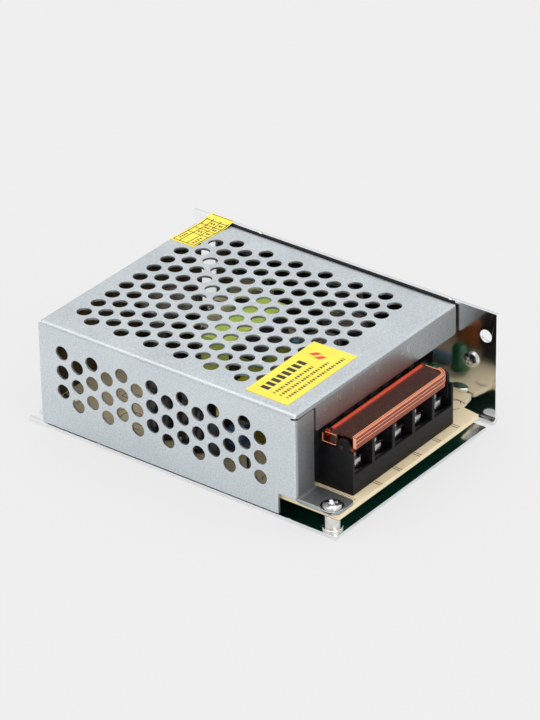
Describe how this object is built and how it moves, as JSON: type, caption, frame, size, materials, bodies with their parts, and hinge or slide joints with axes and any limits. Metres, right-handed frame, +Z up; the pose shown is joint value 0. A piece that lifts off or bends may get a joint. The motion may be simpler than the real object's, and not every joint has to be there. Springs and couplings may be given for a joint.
{
  "type": "switching power supply",
  "caption": "Enclosed mains switching power supply: perforated folded cover on an aluminium chassis, with a screw terminal block under a hinged clear lid.",
  "frame": {"origin": "middle of the chassis floor's underside", "axes": "+X to the terminal end, +Y to the tall chassis wall, +Z up"},
  "size_m": [0.11, 0.078, 0.036],
  "materials": {
    "bright_aluminium": "bright rolled sheet",
    "galvanised_steel": "dull galvanised sheet",
    "tan_laminate": "paper laminate, bare tan side up",
    "plated_brass": "nickel plated",
    "screw_steel": "bright zinc plated",
    "black_plastic": "moulded, satin",
    "orange_clear_plastic": "clear moulded orange",
    "ferrite": "sintered, dark grey",
    "lime_tape": "polyester film tape",
    "brown_sleeve": "shrunk film sleeve",
    "black_sleeve": "shrunk film sleeve",
    "yellow_plastic": "moulded box",
    "blue_coating": "dipped resin",
    "green_coating": "dipped resin",
    "enamelled_copper": "enamelled wire",
    "ceramic_white": "glazed ceramic",
    "grey_pad": "silicone pad",
    "green_clear_plastic": "tinted clear epoxy",
    "resistor_coating": "lacquered",
    "label_film": "printed self-adhesive film",
    "plated_brass_contact": "plated",
    "nickel_steel": "nickel plated"
  },
  "bodies": {
    "housing": {"base_chassis": "bright_aluminium", "perforated_cover": "galvanised_steel", "circuit_board": "tan_laminate", "board_standoffs": "plated_brass", "board_screws": "screw_steel", "cover_screw": "screw_steel", "wall_screw": "screw_steel", "terminal_block": "black_plastic", "terminal_contact_1": "plated_brass_contact", "terminal_contact_2": "plated_brass_contact", "terminal_contact_3": "plated_brass_contact", "terminal_contact_4": "plated_brass_contact", "terminal_contact_5": "plated_brass_contact", "transformer_core": "ferrite", "transformer_bobbin": "black_plastic", "transformer_winding": "lime_tape", "transformer_tape": "lime_tape", "mains_capacitor": "brown_sleeve", "output_capacitor_1": "black_sleeve", "output_capacitor_2": "black_sleeve", "supply_capacitor_1": "black_sleeve", "supply_capacitor_2": "black_sleeve", "x_capacitor": "yellow_plastic", "y_capacitor": "blue_coating", "choke_core": "ferrite", "choke_winding_1": "enamelled_copper", "choke_winding_2": "enamelled_copper", "output_choke_core": "ferrite", "output_choke_winding": "enamelled_copper", "fuse": "ceramic_white", "inrush_thermistor": "green_coating", "bridge_rectifier": "black_plastic", "power_transistor": "black_plastic", "power_transistor_pad": "grey_pad", "power_transistor_clamp": "screw_steel", "power_transistor_screw": "screw_steel", "output_rectifier": "black_plastic", "output_rectifier_pad": "grey_pad", "output_rectifier_clamp": "screw_steel", "output_rectifier_screw": "screw_steel", "indicator_led": "green_clear_plastic", "control_chip": "black_plastic", "optocoupler": "black_plastic", "resistors": "resistor_coating", "front_label": "label_film", "date_label": "label_film"},
    "lid": {"terminal_lid": "orange_clear_plastic"},
    "clamp_1": {"terminal_clamp_1": "nickel_steel"},
    "screw_1": {"terminal_screw_1": "nickel_steel"},
    "clamp_2": {"terminal_clamp_2": "nickel_steel"},
    "screw_2": {"terminal_screw_2": "nickel_steel"},
    "clamp_3": {"terminal_clamp_3": "nickel_steel"},
    "screw_3": {"terminal_screw_3": "nickel_steel"},
    "clamp_4": {"terminal_clamp_4": "nickel_steel"},
    "screw_4": {"terminal_screw_4": "nickel_steel"},
    "clamp_5": {"terminal_clamp_5": "nickel_steel"},
    "screw_5": {"terminal_screw_5": "nickel_steel"}
  },
  "joints": [
    {"name": "lid_hinge", "type": "hinge", "parent": "housing", "child": "lid", "pos_m": [0.0432, 0, 0.024], "axis": [0, -1, 0], "range_deg": [0, 85]},
    {"name": "clamp_1_rise", "type": "slide", "parent": "housing", "child": "clamp_1", "axis": [0, 0, 1], "range_m": [0, 0.001]},
    {"name": "screw_1_turn", "type": "hinge", "parent": "clamp_1", "child": "screw_1", "pos_m": [0.0462, -0.022, 0.0165], "axis": [0, 0, 1], "range_deg": [0, 722]},
    {"name": "clamp_2_rise", "type": "slide", "parent": "housing", "child": "clamp_2", "axis": [0, 0, 1], "range_m": [0, 0.001]},
    {"name": "screw_2_turn", "type": "hinge", "parent": "clamp_2", "child": "screw_2", "pos_m": [0.0462, -0.0125, 0.0165], "axis": [0, 0, 1], "range_deg": [0, 722]},
    {"name": "clamp_3_rise", "type": "slide", "parent": "housing", "child": "clamp_3", "axis": [0, 0, 1], "range_m": [0, 0.001]},
    {"name": "screw_3_turn", "type": "hinge", "parent": "clamp_3", "child": "screw_3", "pos_m": [0.0462, -0.003, 0.0165], "axis": [0, 0, 1], "range_deg": [0, 722]},
    {"name": "clamp_4_rise", "type": "slide", "parent": "housing", "child": "clamp_4", "axis": [0, 0, 1], "range_m": [0, 0.001]},
    {"name": "screw_4_turn", "type": "hinge", "parent": "clamp_4", "child": "screw_4", "pos_m": [0.0462, 0.0065, 0.0165], "axis": [0, 0, 1], "range_deg": [0, 722]},
    {"name": "clamp_5_rise", "type": "slide", "parent": "housing", "child": "clamp_5", "axis": [0, 0, 1], "range_m": [0, 0.001]},
    {"name": "screw_5_turn", "type": "hinge", "parent": "clamp_5", "child": "screw_5", "pos_m": [0.0462, 0.016, 0.0165], "axis": [0, 0, 1], "range_deg": [0, 722]}
  ],
  "couplings": [
    {"joint": "screw_1_turn", "follows": "clamp_1_rise", "rad_per_m": 12566},
    {"joint": "screw_2_turn", "follows": "clamp_2_rise", "rad_per_m": 12566},
    {"joint": "screw_3_turn", "follows": "clamp_3_rise", "rad_per_m": 12566},
    {"joint": "screw_4_turn", "follows": "clamp_4_rise", "rad_per_m": 12566},
    {"joint": "screw_5_turn", "follows": "clamp_5_rise", "rad_per_m": 12566}
  ]
}
